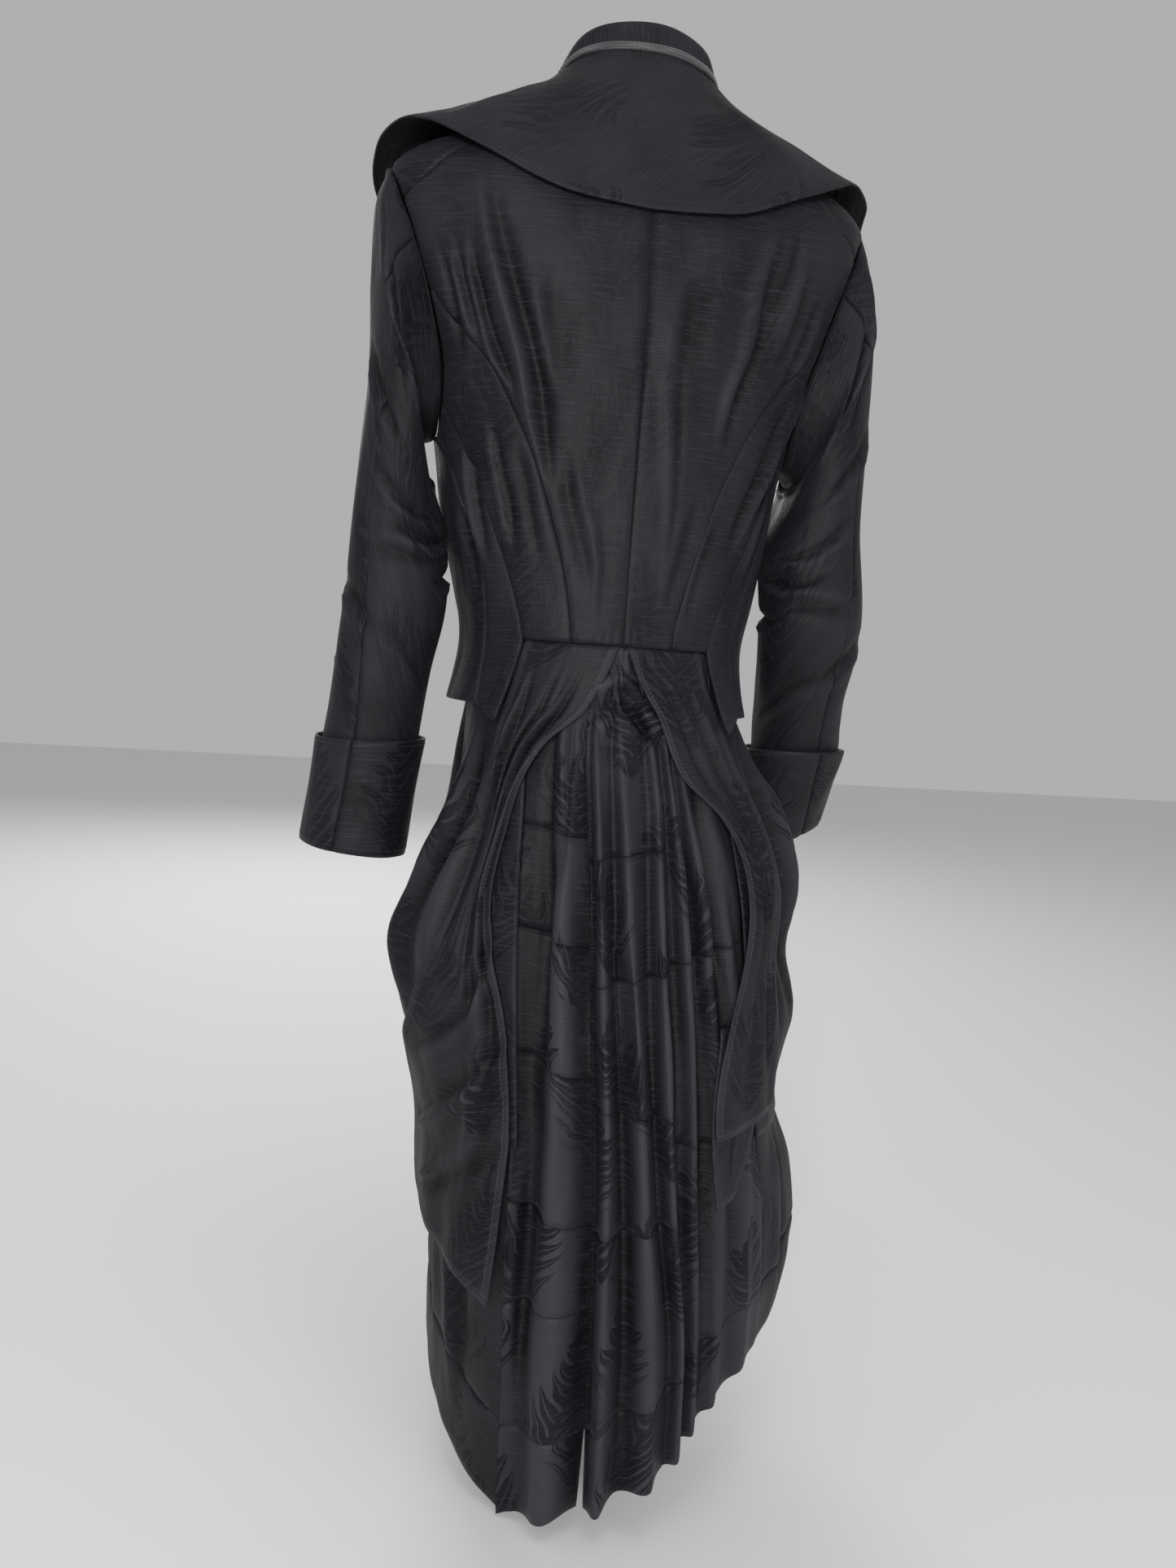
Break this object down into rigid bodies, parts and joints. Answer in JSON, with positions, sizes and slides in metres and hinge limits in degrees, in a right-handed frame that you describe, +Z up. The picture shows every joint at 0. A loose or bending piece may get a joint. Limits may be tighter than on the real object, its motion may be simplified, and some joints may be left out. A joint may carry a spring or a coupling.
{
  "type": "long fitted tail coat",
  "caption": "Long fitted coat, as worn, with a cape collar on a stand, turned-back cuffs, princess seams, a buttoned front and a pleated skirt under draped tails.",
  "frame": {"origin": "at the nape, between the shoulders, where the wearer holds the coat up", "axes": "+Z up; the wearer faces -Y, and their left hand is on the +X side"},
  "size_m": [0.4912, 0.3418, 1.1916],
  "materials": {
    "coat_cloth": "figured satin",
    "binding_tape": "matt tape",
    "covered_button": "satin"
  },
  "bodies": {
    "root": {"back_left": "coat_cloth", "side_back_left": "coat_cloth", "side_left": "coat_cloth", "front_left": "coat_cloth", "back_right": "coat_cloth", "side_back_right": "coat_cloth", "side_right": "coat_cloth", "front_right": "coat_cloth", "sleeve_upper_left": "coat_cloth", "sleeve_under_left": "coat_cloth", "cuff_left": "coat_cloth", "sleeve_upper_right": "coat_cloth", "sleeve_under_right": "coat_cloth", "cuff_right": "coat_cloth", "collar_stand": "coat_cloth", "cape_collar": "coat_cloth", "collar_tape": "binding_tape", "skirt_back_right_1": "coat_cloth", "skirt_back_right_2": "coat_cloth", "skirt_back_right_3": "coat_cloth", "band_back_right": "coat_cloth", "skirt_back_centre_1": "coat_cloth", "skirt_back_centre_2": "coat_cloth", "skirt_back_centre_3": "coat_cloth", "skirt_back_centre_4": "coat_cloth", "skirt_back_centre_5": "coat_cloth", "band_back_centre": "coat_cloth", "skirt_back_left_1": "coat_cloth", "skirt_back_left_2": "coat_cloth", "skirt_back_left_3": "coat_cloth", "skirt_back_left_4": "coat_cloth", "skirt_back_left_5": "coat_cloth", "skirt_back_left_6": "coat_cloth", "band_back_left": "coat_cloth", "drape_left": "coat_cloth", "skirt_side_left": "coat_cloth", "band_side_left": "coat_cloth", "skirt_front_left": "coat_cloth", "band_front_left": "coat_cloth", "drape_right": "coat_cloth", "skirt_side_right": "coat_cloth", "band_side_right": "coat_cloth", "skirt_front_right": "coat_cloth", "band_front_right": "coat_cloth", "tail_left": "coat_cloth", "tail_right": "coat_cloth", "tail_right_under": "coat_cloth", "button_1": "covered_button", "button_2": "covered_button", "button_3": "covered_button", "button_4": "covered_button"}
  },
  "joints": []
}
